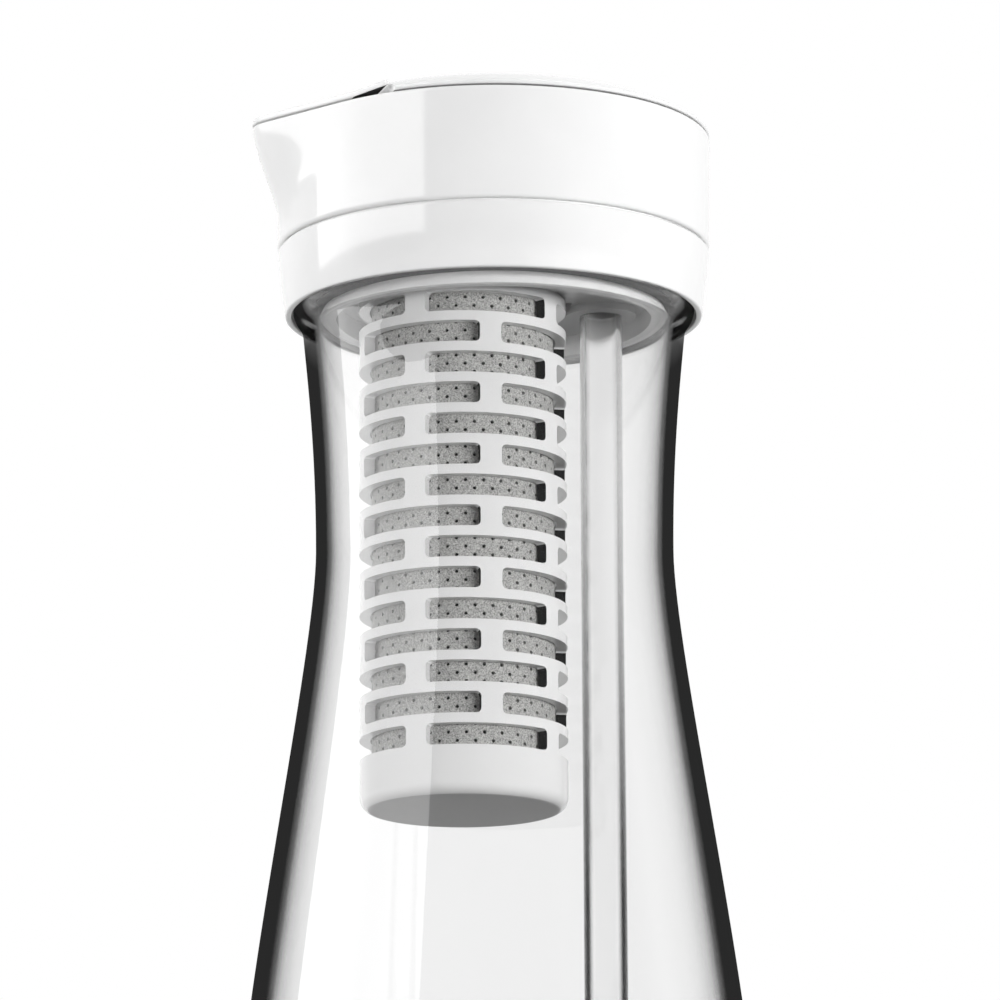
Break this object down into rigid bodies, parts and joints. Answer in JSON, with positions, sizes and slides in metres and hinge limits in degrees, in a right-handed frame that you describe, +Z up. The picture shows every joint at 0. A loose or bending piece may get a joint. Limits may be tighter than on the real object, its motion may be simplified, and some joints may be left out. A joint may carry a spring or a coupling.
{
  "type": "water filter pitcher",
  "caption": "Handle-less waisted glass water filter pitcher with a white spouted lid, a slotted filter basket hanging in its neck and a clear vent tube beside it.",
  "frame": {"origin": "centre of the glass base, on the table", "axes": "+Z up along the glass axis, the spout towards -X, the vent tube towards +X"},
  "size_m": [0.115, 0.115, 0.266],
  "materials": {
    "clear_glass": "clear polished",
    "clear_plastic": "clear polished",
    "white_plastic": "gloss",
    "basket_plastic": "satin",
    "base_plastic": "satin",
    "white_silicone": "matte",
    "grey_silicone": "matte",
    "dark_rubber": "matte",
    "sleeve_fleece": "speckled matte",
    "carbon": "matte porous",
    "pin_steel": "bright"
  },
  "bodies": {
    "carafe": {"glass_carafe": "clear_glass"},
    "lid": {"lid_collar": "white_plastic", "lid_shell": "white_plastic", "lid_cover": "white_plastic", "lid_base": "base_plastic", "neck_seal": "white_silicone", "chamber_seal": "grey_silicone", "cover_seal": "dark_rubber", "spout_liner": "base_plastic", "vent_tube": "clear_plastic", "vent_grommet": "grey_silicone"},
    "flap": {"spout_flap": "white_plastic", "flap_pin": "pin_steel", "flap_pad": "grey_silicone"},
    "filter": {"filter_basket": "basket_plastic", "basket_o_ring": "dark_rubber", "filter_sleeve": "sleeve_fleece", "carbon_block": "carbon", "core_tube": "base_plastic", "cartridge_top_cap": "base_plastic", "cartridge_bottom_cap": "base_plastic", "cartridge_o_ring": "dark_rubber", "outlet_screen": "pin_steel"}
  },
  "joints": [
    {"name": "lid_lift", "type": "slide", "parent": "carafe", "child": "lid", "axis": [0, 0, 1], "range_m": [0, 0.21]},
    {"name": "flap_rock", "type": "hinge", "parent": "lid", "child": "flap", "pos_m": [-0.041, 0, 0.2555], "axis": [0, 1, 0], "range_deg": [0, 12]},
    {"name": "filter_twist", "type": "hinge", "parent": "lid", "child": "filter", "pos_m": [-0.0073, 0, 0.2202], "axis": [0, 0, -1], "range_deg": [0, 40]}
  ]
}
